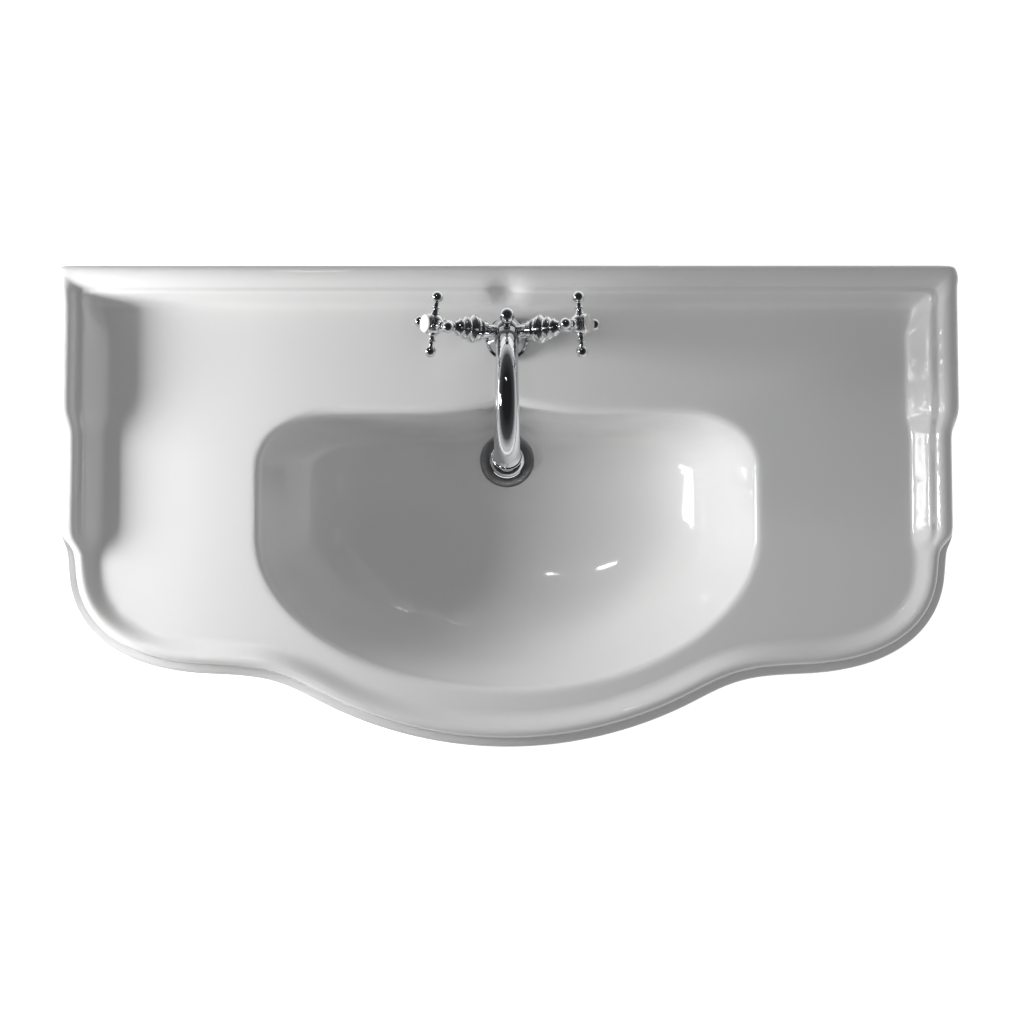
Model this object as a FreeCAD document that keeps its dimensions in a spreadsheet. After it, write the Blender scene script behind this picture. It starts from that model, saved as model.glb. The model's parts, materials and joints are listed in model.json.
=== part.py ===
import FreeCAD, Part
import Sketcher
import math
import os
import re

Vector = FreeCAD.Vector
Rotation = FreeCAD.Rotation
doc = FreeCAD.newDocument("washbasin")
sheet = doc.addObject("Spreadsheet::Sheet", "dims")

# Driving dimensions in millimetres and degrees. Depths run from the wall towards the front.
# Heights run up from the deck, and the origin lies midway between the two wall holes.
SIZES = {
    # Basin, seen from above
    "basin_width": 1000,
    "basin_depth": 525,
    "back_grinding": 0.5,
    "back_corner_radius": 14,
    "inner_corner_radius": 10,
    "upper_side_end": 159,
    "middle_side_end": 291,
    "step_length": 24,
    "step_depth": 8,
    "shoulder_half_width": 300,
    "shoulder_setback": 79,
    "bow_half_width": 225,
    "bow_radius": 452,
    # Basin, edge mouldings
    "deck_height": 100,
    "ledge_height": 37,
    "ledge_width": 66,
    "middle_ledge_height": 25,
    "middle_ledge_width": 53,
    "lip_height": 9,
    "lip_width": 40,
    "strip_drop": 10,
    "dimple_half_width": 27,
    # Basin, underside and wall fixing
    "deck_thickness": 14,
    "skirt_depth": 75,
    "skirt_wall": 13,
    "back_panel_depth": 165,
    "back_panel_half_width": 230,
    "wall_hole_spacing": 280,
    "wall_hole_radius": 11,
    # Bowl and its drain
    "bowl_half_width": 272,
    "bowl_back": 156,
    "bowl_recess_rise": 11,
    "bowl_recess_half_width": 51,
    "bowl_corner_reach": 82,
    "bowl_corner_depth": 63,
    "bowl_front_start": 292,
    "front_margin": 65,
    "bowl_depth": 128,
    "bowl_wall": 12,
    "bowl_edge_round": 9,
    "drain_back": 200,
    "drain_hole_radius": 23.6,
    "drain_recess_radius": 32,
    "drain_recess_depth": 5,
    "drain_boss_radius": 38,
    "drain_boss_depth": 22,
    # Tap body
    "tap_back": 77,
    "tap_hole_radius": 17.5,
    "gasket_thickness": 1.5,
    "flange_radius": 23.5,
    "flange_thickness": 4,
    "foot_radius": 21,
    "foot_height": 12,
    "column_radius": 13,
    "globe_height": 46,
    "globe_radius": 17,
    "arm_radius": 10.5,
    "arm_length": 30,
    "valve_tilt": 55,
    "spout_boss_radius": 12.8,
    "spout_boss_length": 24,
    "shank_radius": 16.6,
    "shank_end": 11,
    "inlet_radius": 4.5,
    "inlet_depth": 12,
    "inlet_spacing": 17,
    "inlet_back": 0.8,
    "waterway_radius": 3,
    "waterway_top": 10,
    # Fixing under the deck
    "stud_radius": 4,
    "stud_forward": 9.6,
    "stud_socket": 8,
    "stud_length": 52,
    "clamp_radius": 26,
    "clamp_back": 4,
    "rubber_thickness": 3,
    "clamp_thickness": 2.5,
    "nut_flats": 13,
    "nut_height": 6.5,
    # Valves and handles, along each valve's own axis from the middle of the globe
    "valve_start": 14,
    "valve_radius": 7.8,
    "valve_flange_radius": 10.2,
    "valve_flange_thickness": 4,
    "valve_neck_radius": 6.5,
    "valve_end": 60,
    "spindle_radius": 3.5,
    "spindle_start": 17,
    "spindle_end": 94,
    "bonnet_bell_radius": 15,
    "bonnet_bell_start": 38,
    "bonnet_bell_length": 5,
    "bonnet_collar_radius": 12.2,
    "bonnet_waist_radius": 8,
    "bonnet_end": 68,
    "handle_start": 68.6,
    "handle_neck_radius": 5,
    "handle_bead_place": 75,
    "handle_bead_radius": 6.6,
    "hub_start": 80,
    "hub_end": 103,
    "hub_radius": 11,
    "hub_cup_radius": 6,
    "hub_cup_depth": 6,
    "hub_web": 3,
    "cross_place": 93,
    "cross_reach": 28.3,
    "cross_arm_radius": 3.6,
    "cross_ball_radius": 6.2,
    "left_handle_angle": 14,
    "right_handle_angle": 7,
    "screw_radius": 1.8,
    "screw_length": 14,
    "screw_head_radius": 4,
    "screw_head_height": 3,
    "cap_radius": 9.4,
    "cap_thickness": 2.4,
    "cap_crown": 1.2,
    # Spout, along its own path from the middle of the globe
    "spout_lean_angle": 30,
    "spout_tube_radius": 11,
    "spout_end_radius": 14,
    "spout_bore_radius": 8.4,
    "spout_spigot_radius": 9.9,
    "spout_spigot_start": 16,
    "spout_rise": 31,
    "spout_bend_radius": 64,
    "spout_bend_angle": 125,
    "spout_fall": 14,
    "mouth_radius": 16.4,
    "mouth_length": 26,
    "mouth_lip": 1.6,
    "mouth_recess": 13,
    "spout_seal_thickness": 1,
    "aerator_radius": 12.4,
    "aerator_wall": 1.4,
    "aerator_thickness": 7,
    "aerator_hole_radius": 1.3,
    "aerator_hole_place": 6.4,
    # Pop-up lift
    "rod_back": 11.5,
    "rod_radius": 3,
    "rod_boss_radius": 6,
    "rod_boss_start": 34,
    "rod_boss_end": 61,
    "rod_end": 114,
    "knob_place": 88,
    "knob_radius": 8.1,
    "knob_neck_radius": 3.6,
    "knob_neck_start": 63,
    "knob_bead_radius": 5.2,
    "knob_bead_place": 74,
    "strap_block_width": 12,
    "strap_block_height": 14,
    "strap_width": 14,
    "strap_thickness": 2,
    "strap_tail": 8,
    "strap_hole_radius": 3.4,
    "strap_hole_pitch": 13,
    "strap_screw_radius": 2,
    "strap_screw_length": 10,
    "lever_drop": 50,
    "lever_forward": 33,
    "lever_radius": 2.5,
    "lever_tilt": 7.6,
    "lever_tail": 9,
    "lever_tip": 3,
    "pivot_ball_radius": 5.5,
    # Waste
    "waste_flange_radius": 31,
    "waste_flange_thickness": 3,
    "waste_dish_depth": 2,
    "waste_seal_thickness": 1.5,
    "waste_bore_radius": 20.6,
    "waste_sleeve_radius": 23,
    "waste_sleeve_length": 32,
    "waste_collar_radius": 30,
    "waste_collar_thickness": 4,
    "lower_seal_thickness": 3,
    "waste_barrel_radius": 26,
    "waste_barrel_length": 48,
    "waste_cone_length": 8,
    "tail_radius": 20.95,
    "tail_bore_radius": 18,
    "tail_length": 52,
    "port_radius": 10,
    "port_bore_radius": 5.8,
    "port_reach": 2,
    "pivot_seal_thickness": 2,
    "pivot_nut_radius": 13,
    "pivot_nut_grip": 6,
    "pivot_nut_wall": 3,
    "pivot_nut_hole_radius": 4.1,
    "plug_radius": 20,
    "plug_edge": 2.4,
    "plug_crown": 3,
    "plug_top_radius": 15.5,
    "plug_seal_thickness": 2.5,
    "plug_seal_radius": 20.3,
    "plug_stem_radius": 4,
    "stem_blade_width": 11,
    "stem_blade_thickness": 3,
    "stem_blade_height": 15,
    "stem_eye_radius": 3.4,
    # Fits
    "seat_gap": 0.1,
    "running_gap": 0.05,
    "cut_overrun": 2,
}

for row, (name, value) in enumerate(SIZES.items(), start=1):
    sheet.set(f"A{row}", name)
    sheet.set(f"B{row}", str(value))
    sheet.setAlias(f"B{row}", name)
doc.recompute()


def size(name):
    """The value of one driving dimension."""
    return float(sheet.get(name))


def mix(start, end, share):
    """The value at a share of the way from start to end."""
    return start + (end - start) * share


def ease(share):
    """A share eased in and out, for an ogee between two levels."""
    return share * share * (3 - 2 * share)


# Edge moulding rows from the outside in, each as a share of the moulding's width and a share
# of its height: on the side ledge, on the back ledge and on the front lip in turn.
# The strip's rows lie below the deck, so their heights are shares of the strip's drop.
STRIP_SHARES = [
    ((0.0, -1.6), (0.0, -1.6), (0.0, -1.6)),
    ((0.0, -1.0), (0.0, -1.0), (0.0, -1.0)),
    ((0.021, -0.68), (0.0, -0.65), (0.03, -0.66)),
    ((0.071, -0.66), (0.0, -0.3), (0.20, -0.55)),
    ((0.089, -0.80), (0.0, 0.2), (0.24, -0.72)),
    ((0.097, -0.30), (0.0, 0.8), (0.255, -0.30)),
]
LEDGE_SHARES = [
    ((0.12, 0.40), (0.0, 0.48), (0.27, 0.12)),
    ((0.15, 0.84), (0.008, 0.83), (0.295, 0.52)),
    ((0.225, 0.99), (0.049, 0.99), (0.35, 0.90)),
    ((0.335, 1.03), (0.164, 1.03), (0.44, 1.04)),
    ((0.435, 0.98), (0.299, 0.96), (0.52, 1.02)),
    ((0.475, 0.81), (0.364, 0.82), (0.58, 0.90)),
    ((0.53, 0.78), (0.397, 0.80), (0.64, 0.74)),
    ((0.595, 0.80), (0.442, 0.805), (0.70, 0.54)),
    ((0.64, 0.72), (0.479, 0.71), (0.765, 0.34)),
    ((0.80, 0.28), (0.573, 0.175), (0.84, 0.15)),
    ((0.90, 0.02), (0.63, 0.03), (0.91, 0.03)),
    ((0.94, 0.0), (0.712, 0.0), (1.0, 0.0)),
]
# How far the finger dimple behind the tap takes each ledge row back and down, as shares
# of the ledge's width and height.
DIMPLE_SHARES = [
    (0.0, 0.0), (0.0, 0.0), (0.0, 0.0), (0.0, 0.02), (0.025, 0.06), (0.04, 0.10),
    (0.05, 0.15), (0.05, 0.21), (0.04, 0.22), (0.025, 0.05), (0.008, 0.0), (0.0, 0.0),
]
# Flat rows of the deck, as shares of the way from the edge moulding in to the bowl.
FLAT_SHARES = [0.04, 0.08, 0.92]
# Underside rows from the skirt in to the deck: share of the width of a ledge, share of the
# width of the lip, and share of the ledge's height above the deck's underside.
UNDER_SHARES = [
    (0.286, 0.36, 0.55), (0.327, 0.40, 0.86), (0.47, 0.45, 0.80), (0.67, 0.52, 0.12), (0.826, 0.60, 0.0),
]
SKIRT_ROUND_SHARE = 0.25
# Rows where the underside turns down round the bowl: step outward and drop, as shares of its wall.
BEND_SHARES = [(2.6, 0.0), (1.5, 0.15), (0.95, 1.0)]
# Bowl rows from the edge in to the drain: share of the way in, share of the depth.
BOWL_SHARES = [
    (0.05, 0.23), (0.10, 0.39), (0.17, 0.555), (0.26, 0.70), (0.37, 0.815),
    (0.50, 0.895), (0.66, 0.95), (0.82, 0.98), (0.94, 1.0), (1.0, 1.0),
]
# Rows over the bowl's edge: step outward and drop, as shares of the edge's rounding.
EDGE_SHARES = [(1.15, 0.0), (0.75, 0.015), (0.35, 0.11), (-0.08, 0.48), (-0.29, 1.05)]
# Rows round the drain, as shares of the radius of its recess, its hole and its boss below.
FLOOR_SHARE = 1.04
DRAIN_SHARES = [0.8, 1.0, 1.2]
BOSS_DROP_SHARE = 0.7
BOSS_FOOT_SHARE = 0.98
BOSS_SHARES = [1.3, 1.0, 0.8]
# Where the stations of the outline stand, as shares of the stretch that they divide.
BACK_SHARES = [0.0, 0.018, 0.037, 0.056, 0.08, 0.12, 0.18, 0.26, 0.40, 0.56, 0.72, 0.86, 0.95]
ARC_SHARES = [0.0, 0.25, 0.5, 0.75, 1.0]
SIDE_SHARES = [0.14, 0.40, 0.70, 0.88]
STEP_SHARES = [0.0, 0.33, 0.67, 1.0]
CORNER_SHARES = [0.09, 0.18, 0.27, 0.36, 0.45, 0.54, 0.63, 0.72, 0.82, 0.91, 1.0]
FILLET_SHARES = [0.42, 0.72]
BOW_SHARES = [1.0, 0.9, 0.8, 0.7, 0.6, 0.5, 0.4, 0.3, 0.2, 0.1, 0.0]
# How full the front corners are: a power of two gives an ellipse, and more a squarer corner.
CORNER_POWER = 2.45
# How far each station's place on the bowl's edge goes from an even spacing to the nearest point.
NEAR_SHARE = 0.8
# The skin's patches: how many stand side by side, and where they end from drain to underside.
PATCH_COLUMNS = 4
PATCH_ROW_SHARES = [0.0, 0.27, 0.6, 0.73, 1.0]
SKIN_DEGREE = 3
BOWL_LINE_POINTS = 24


class Station:
    """One place on the right half of the outline, with the moulding that it carries."""

    def __init__(self, zone, share, wide, high, ledge, back, lip, outer=None, normal=None):
        self.zone = zone
        self.share = share
        self.wide = wide
        self.high = high
        self.weights = (ledge, back, lip)
        self.outer = outer
        self.normal = normal

    def plan(self, inset, corner_radius):
        """The point at an inset from the outline, seen from above."""
        half = size("basin_width") / 2
        behind = inset - size("back_grinding")
        if self.zone == "back":
            return Vector(self.share * (half - inset - corner_radius), -behind, 0)
        if self.zone == "corner":
            angle = self.share * math.pi / 2
            centre = Vector(half - inset - corner_radius, -behind - corner_radius, 0)
            return centre + Vector(math.sin(angle), math.cos(angle), 0) * corner_radius
        if self.zone == "upper":
            start = behind + corner_radius
            return Vector(half - inset, -mix(start, size("upper_side_end"), self.share), 0)
        return self.outer - self.normal * inset

    def blend(self, row, column):
        """One share of a moulding row, mixed from side ledge, back ledge and lip."""
        return sum(weight * part[column] for weight, part in zip(self.weights, row))

    def dimple(self):
        """How deep the finger dimple is here, from none to full."""
        if self.zone != "back":
            return 0.0
        across = self.share * size("basin_width") / 2 / size("dimple_half_width")
        return 0.0 if across >= 1 else (1 + math.cos(math.pi * across)) / 2

    def panel(self):
        """How much of the tall back panel stands here, from none to full."""
        if self.zone != "back":
            return 0.0
        past = self.share * size("basin_width") / 2 - size("back_panel_half_width")
        fade = size("basin_width") / 2 - size("back_panel_half_width")
        return 1 - ease(min(1.0, max(0.0, past / fade)))


def outline_stations():
    """The stations of the right half, from the middle of the back to the middle of the front."""
    half = size("basin_width") / 2
    ledge = (size("ledge_width"), size("ledge_height"))
    middle = (size("middle_ledge_width"), size("middle_ledge_height"))
    lip = (size("lip_width"), size("lip_height"))
    step, length = size("step_depth"), size("step_length")
    first, second = size("upper_side_end"), size("middle_side_end")
    outward = Vector(1, 0, 0)
    stations = [Station("back", share, *ledge, 0, 1, 0) for share in BACK_SHARES]
    stations += [Station("corner", share, *ledge, share, 1 - share, 0) for share in ARC_SHARES]
    stations += [Station("upper", share, *ledge, 1, 0, 0) for share in SIDE_SHARES]
    for share in STEP_SHARES:
        eased = ease(share)
        outer = Vector(half - step * eased, -first - length * share, 0)
        wide, high = mix(ledge[0], middle[0], eased), mix(ledge[1], middle[1], eased)
        stations.append(Station("step", share, wide, high, 1, 0, 0, outer, outward))
    for share in SIDE_SHARES:
        outer = Vector(half - step, -mix(first + length, second, share), 0)
        stations.append(Station("middle", share, *middle, 1, 0, 0, outer, outward))
    for share in STEP_SHARES:
        eased = ease(share)
        outer = Vector(half - step - step * eased, -second - length * share, 0)
        wide, high = mix(middle[0], lip[0], eased), mix(middle[1], lip[1], eased)
        stations.append(Station("step", share, wide, high, 1 - eased, 0, eased, outer, outward))
    shoulder = size("shoulder_half_width")
    reach = half - step - step - shoulder
    drop = size("basin_depth") - size("shoulder_setback") - second - length
    for share in CORNER_SHARES:
        angle = share * math.pi / 2
        right, front = [max(0.0, part) ** (2 / CORNER_POWER) for part in (math.cos(angle), math.sin(angle))]
        outer = Vector(shoulder + reach * right, -second - length - drop * front, 0)
        slopes = [part ** (CORNER_POWER - 1) for part in (right, front)]
        normal = Vector(drop * slopes[0], -reach * slopes[1], 0).normalize()
        stations.append(Station("front", share, *lip, 0, 0, 1, outer, normal))
    centre = Vector(0, size("bow_radius") - size("basin_depth"), 0)
    bow = []
    for share in BOW_SHARES:
        across = size("bow_half_width") * share
        normal = Vector(across, -math.sqrt(size("bow_radius") ** 2 - across**2), 0)
        outer = centre + normal
        bow.append(Station("front", share, *lip, 0, 0, 1, outer, normal.normalize()))
    corner_end, bow_end = stations[-1], bow[0]
    for share in FILLET_SHARES:
        outer = Vector(mix(corner_end.outer.x, bow_end.outer.x, share),
                       mix(corner_end.outer.y, bow_end.outer.y, share * share), 0)
        normal = (corner_end.normal * (1 - share) + bow_end.normal * share).normalize()
        stations.append(Station("front", share, *lip, 0, 0, 1, outer, normal))
    return stations + bow


def bowl_line():
    """Points along the right half of the bowl's edge, from the back to the front."""
    half, back = size("bowl_half_width"), size("bowl_back")
    recess, rise = size("bowl_recess_half_width"), size("bowl_recess_rise")
    reach, depth = size("bowl_corner_reach"), size("bowl_corner_depth")
    start, front = size("bowl_front_start"), size("basin_depth") - size("front_margin")
    shares = [index / BOWL_LINE_POINTS for index in range(BOWL_LINE_POINTS + 1)]
    points = []
    for share in shares:
        points.append(Vector(recess * share, rise * (1 + math.cos(math.pi * share)) / 2 - back, 0))
    for share in shares:
        angle = share * math.pi / 2
        points.append(Vector(half - reach + reach * math.sin(angle),
                             depth * math.cos(angle) - depth - back, 0))
    for share in shares:
        angle = share * math.pi / 2
        points.append(Vector(half * math.cos(angle),
                             -start - (front - start) * math.sin(angle), 0))
    return points


def along(points, share):
    """The point and the outward normal at a share of a line's length."""
    lengths = [(b - a).Length for a, b in zip(points, points[1:])]
    target = share * sum(lengths)
    for start, end, length in zip(points, points[1:], lengths):
        if target <= length or end is points[-1]:
            across = (end - start).normalize()
            return start + across * min(target, length), Vector(-across.y, across.x, 0)
        target -= length


def nearest(points, place):
    """The share of a line's length at the point on it that is nearest to a place."""
    passed, closest, found = 0.0, math.inf, 0.0
    for start, end in zip(points, points[1:]):
        step = end - start
        part = min(1.0, max(0.0, (place - start).dot(step) / step.dot(step)))
        gap = (start + step * part - place).Length
        if gap < closest:
            closest, found = gap, passed + step.Length * part
        passed += step.Length
    return found / passed


def basin_rows():
    """The rows of poles of the right half, from the drain over the edge to the underside."""
    stations = outline_stations()
    outer_radius, inner_radius = size("back_corner_radius"), size("inner_corner_radius")
    rim = [station.plan(0, outer_radius) for station in stations]
    lengths = [0.0]
    for start, end in zip(rim, rim[1:]):
        lengths.append(lengths[-1] + (end - start).Length)
    line = bowl_line()
    edge = []
    for station, length in zip(stations, lengths):
        near = nearest(line, station.plan(station.wide, inner_radius))
        edge.append(along(line, mix(length / lengths[-1], near, NEAR_SHARE)))
    edge[0] = (edge[0][0], Vector(0, 1, 0))
    edge[-1] = (edge[-1][0], Vector(0, -1, 0))
    drain = Vector(0, -size("drain_back"), 0)
    aims = [(point - drain).normalize() for point, normal in edge]
    depth, rounding = size("bowl_depth"), size("bowl_edge_round")
    wall, under = size("bowl_wall"), -size("deck_thickness")

    def drain_row(radius, height):
        return [drain + aim * radius + Vector(0, 0, height) for aim in aims]

    def edge_row(step, height):
        return [point + normal * step + Vector(0, 0, height) for point, normal in edge]

    def between(start_row, end_row, share, height):
        rows = [start + (end - start) * share for start, end in zip(start_row, end_row)]
        return [Vector(point.x, point.y, height) for point in rows]

    def moulding_row(row, unit, dimple=(0.0, 0.0)):
        points = []
        for station in stations:
            inset = station.blend(row, 0) * station.wide
            height = station.blend(row, 1) * (unit or station.high)
            inset -= dimple[0] * station.dimple() * station.wide
            height -= dimple[1] * station.dimple() * station.high
            radius = mix(outer_radius, inner_radius, station.blend(row, 0))
            points.append(station.plan(inset, radius) + Vector(0, 0, height))
        return points

    def skirt_row(inset, lift):
        points = []
        for station in stations:
            height = -mix(size("skirt_depth"), size("back_panel_depth"), station.panel()) + lift
            points.append(station.plan(inset, outer_radius) + Vector(0, 0, height))
        return points

    def under_row(ledge_share, lip_share, lift):
        points = []
        for station in stations:
            lip = station.weights[2]
            height = under + lift * (1 - lip) * station.high
            inset = max(mix(ledge_share, lip_share, lip) * station.wide, size("skirt_wall"))
            points.append(station.plan(inset, inner_radius) + Vector(0, 0, height))
        return points

    foot = edge_row(EDGE_SHARES[-1][0] * rounding, 0)
    floor = drain_row(size("drain_recess_radius") * FLOOR_SHARE, 0)
    top = [drain_row(size("drain_hole_radius") * share, -depth) for share in DRAIN_SHARES]
    bowl = [between(foot, floor, share, -depth * low) for share, low in BOWL_SHARES]
    top += list(reversed(bowl))
    top += [edge_row(out * rounding, -low * rounding) for out, low in reversed(EDGE_SHARES)]
    mouldings = [moulding_row(row, size("strip_drop")) for row in STRIP_SHARES]
    mouldings += [moulding_row(row, None, low) for row, low in zip(LEDGE_SHARES, DIMPLE_SHARES)]
    mouldings += [between(mouldings[-1], top[-1], share, 0) for share in FLAT_SHARES]
    top += list(reversed(mouldings))

    skirt_wall = size("skirt_wall")
    rounded = skirt_wall * SKIRT_ROUND_SHARE
    skirt = [skirt_row(0, rounded), skirt_row(rounded / 2, 0)]
    skirt += [skirt_row(skirt_wall - rounded / 2, 0), skirt_row(skirt_wall, rounded)]
    below = [under_row(*shares) for shares in UNDER_SHARES]
    bend = [edge_row(out * wall, under - low * wall) for out, low in BEND_SHARES]
    below += [between(below[-1], bend[0], share, under) for share in FLAT_SHARES]
    below += bend
    outside = edge_row(EDGE_SHARES[-1][0] * rounding + wall, 0)
    boss_radius, hole_radius = size("drain_boss_radius"), size("drain_hole_radius")
    boss = drain_row(boss_radius, 0)
    for share, low in BOWL_SHARES[:-1]:
        below.append(between(outside, boss, share, -depth * low - wall * low))
    base = -depth - size("drain_boss_depth")
    below.append(drain_row(boss_radius, -depth - wall))
    below.append(drain_row(boss_radius, mix(-depth - wall, base, BOSS_DROP_SHARE)))
    below.append(drain_row(boss_radius * BOSS_FOOT_SHARE, base))
    below += [drain_row(hole_radius * share, base) for share in BOSS_SHARES]
    return top + skirt + below


def mirrored(row):
    """A whole row, from the right half and its mirror image on the left."""
    left = [Vector(-point.x, point.y, point.z) for point in reversed(row[1:-1])]
    return row + left


def basin_blank():
    """The casting without its holes: one smooth skin in patches, closed by two flat discs."""
    rows = [mirrored(row) for row in basin_rows()]
    around, rings = len(rows[0]), len(rows)
    poles = [[rows[ring][place] for ring in range(rings)] for place in range(around)]
    spans = rings - SKIN_DEGREE
    ends = SKIN_DEGREE + 1
    patches = []
    for column in range(PATCH_COLUMNS):
        for start, end in zip(PATCH_ROW_SHARES, PATCH_ROW_SHARES[1:]):
            skin = Part.BSplineSurface()
            skin.buildFromPolesMultsKnots(
                poles, [1] * (around + 1), [ends] + [1] * (spans - 1) + [ends],
                [float(knot) for knot in range(around + 1)],
                [float(knot) for knot in range(spans + 1)],
                True, False, SKIN_DEGREE, SKIN_DEGREE,
            )
            skin.segment(around * column / PATCH_COLUMNS, around * (column + 1) / PATCH_COLUMNS,
                         round(spans * start), round(spans * end))
            patches.append(skin.toShape())
    skin = Part.makeCompound(patches)
    skin.sewShape()
    rims = [edge for edge in skin.Edges if len(skin.ancestorsOfType(edge, Part.Face)) == 1]
    discs = [Part.Face(Part.Wire(loop)) for loop in Part.sortEdges(rims)]
    closed = Part.makeCompound(skin.Faces + discs)
    closed.sewShape()
    solid = Part.Solid(closed.Shells[0])
    if solid.Volume < 0:
        solid.reverse()
    return solid


NAMES = re.compile(r"[a-z][a-z_]*[a-z]")


def cells(expression):
    """An expression in size names, as one in the sheet's cells."""
    return NAMES.sub(lambda m: "dims." + m[0] if m[0] in SIZES else m[0], expression)


def bind(piece, **expressions):
    """Tie properties of a piece to expressions in size names."""
    for name, expression in expressions.items():
        piece.setExpression(name, cells(expression))
    return piece


def put(piece, x="0", y="0", z="0", axis=None, angle="0"):
    """Place a piece, turned about an axis, with its place and angle tied to size names."""
    if axis is not None:
        piece.Placement = FreeCAD.Placement(Vector(), Rotation(axis, 1))
        piece.setExpression("Placement.Rotation.Angle", cells(angle))
    for name, expression in (("x", x), ("y", y), ("z", z)):
        if expression != "0":
            piece.setExpression("Placement.Base." + name, cells(expression))
    return piece


def cylinder(radius, height, x="0", y="0", z="0", axis=None, angle="0"):
    """An upright cylinder, standing on its place."""
    piece = bind(doc.addObject("Part::Cylinder", "Cylinder"), Radius=radius, Height=height)
    return put(piece, x, y, z, axis, angle)


def cone(low, high, height, z="0"):
    """An upright cone between two radii."""
    piece = bind(doc.addObject("Part::Cone", "Cone"), Radius1=low, Radius2=high, Height=height)
    return put(piece, z=z)


def ball(radius, x="0", y="0", z="0"):
    """A ball about its place."""
    return put(bind(doc.addObject("Part::Sphere", "Ball"), Radius=radius), x, y, z)


def ring(middle, thickness, z="0"):
    """A round ring about the upright axis, given its middle radius and its half thickness."""
    piece = bind(doc.addObject("Part::Torus", "Ring"), Radius1=middle, Radius2=thickness)
    return put(piece, z=z)


def block(long, wide, high, z="0", y="0"):
    """A block centred on the upright axis in both directions, or at its own y."""
    piece = bind(doc.addObject("Part::Box", "Block"), Length=long, Width=wide, Height=high)
    return put(piece, f"-({long}) / 2", f"({y}) - ({wide}) / 2", z)


def fuse(*pieces):
    """One solid from several pieces."""
    whole = doc.addObject("Part::MultiFuse", "Fuse")
    whole.Shapes = list(pieces)
    whole.Refine = True
    return whole


def cut(base, *tools):
    """A solid with one or more tools taken out of it."""
    whole = doc.addObject("Part::Cut", "Cut")
    whole.Base = base
    whole.Tool = tools[0] if len(tools) == 1 else fuse(*tools)
    whole.Refine = True
    return whole


def tube(outer, inner, height, z="0"):
    """A plain tube or washer."""
    hole = cylinder(inner, f"({height}) + 2 * cut_overrun", z=f"({z}) - cut_overrun")
    return cut(cylinder(outer, height, z=z), hole)


NODES = []


def node(piece, label):
    """Name a finished piece and keep it for export."""
    piece.Label = label
    NODES.append(piece)
    return piece


def carried(piece):
    """A piece inside a compound, so that it keeps its own place under a second one."""
    group = doc.addObject("Part::Compound", "Group")
    group.Links = [piece]
    return group


def at_tap(piece):
    """Stand a piece on the deck at the tap's axis."""
    return put(carried(piece), y="-tap_back", z="deck_height")


def at_drain(piece):
    """Stand a piece at the drain's axis, level with the bowl's floor."""
    return put(carried(piece), y="-drain_back", z="deck_height - bowl_depth")


def at_valve(piece, side):
    """Lay a piece along the valve axis of one side, from the middle of the globe."""
    return put(carried(piece), y="-tap_back", z="deck_height + globe_height",
               axis=Vector(0, side, 0), angle="valve_tilt")


# The lever's length from its pivot ball back to the strap, the height that it raises the plug,
# and the holes along the strap.
LEVER_REACH = "drain_back - lever_forward - tap_back + rod_back"
PLUG_RAISE = "2 * lever_forward * tan(lever_tilt * 1 deg)"
STRAP_HOLES = 5


def build_basin():
    """The glazed casting, ground flat at the back, with its tap hole, drain and two wall holes."""
    blank = doc.addObject("Part::Feature", "Blank")
    blank.Shape = basin_blank()
    lift = FreeCAD.Placement(Vector(0, 0, size("deck_height")), Rotation())
    blank.Placement = lift
    tap_hole = cylinder("tap_hole_radius", "deck_thickness + 2 * cut_overrun",
                        y="-tap_back", z="deck_height - deck_thickness - cut_overrun")
    drain_hole = cylinder("drain_hole_radius", "drain_boss_depth + 2 * cut_overrun", y="-drain_back",
                          z="deck_height - bowl_depth - drain_boss_depth - cut_overrun")
    recess = cylinder("drain_recess_radius", "drain_recess_depth + cut_overrun", y="-drain_back",
                      z="deck_height - bowl_depth - drain_recess_depth")
    wall_holes = []
    for side in ("-1", "1"):
        hole = cylinder("wall_hole_radius", "skirt_wall + ledge_width",
                        x=f"{side} * wall_hole_spacing / 2", y="cut_overrun",
                        axis=Vector(1, 0, 0), angle="90")
        wall_holes.append(hole)
    ground = block("basin_width + 2 * cut_overrun", "back_grinding + cut_overrun",
                   "back_panel_depth + 2 * ledge_height",
                   z="deck_height - back_panel_depth - cut_overrun",
                   y="(back_grinding + cut_overrun) / 2")
    node(cut(blank, ground, tap_hole, drain_hole, recess, *wall_holes), "basin")


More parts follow.
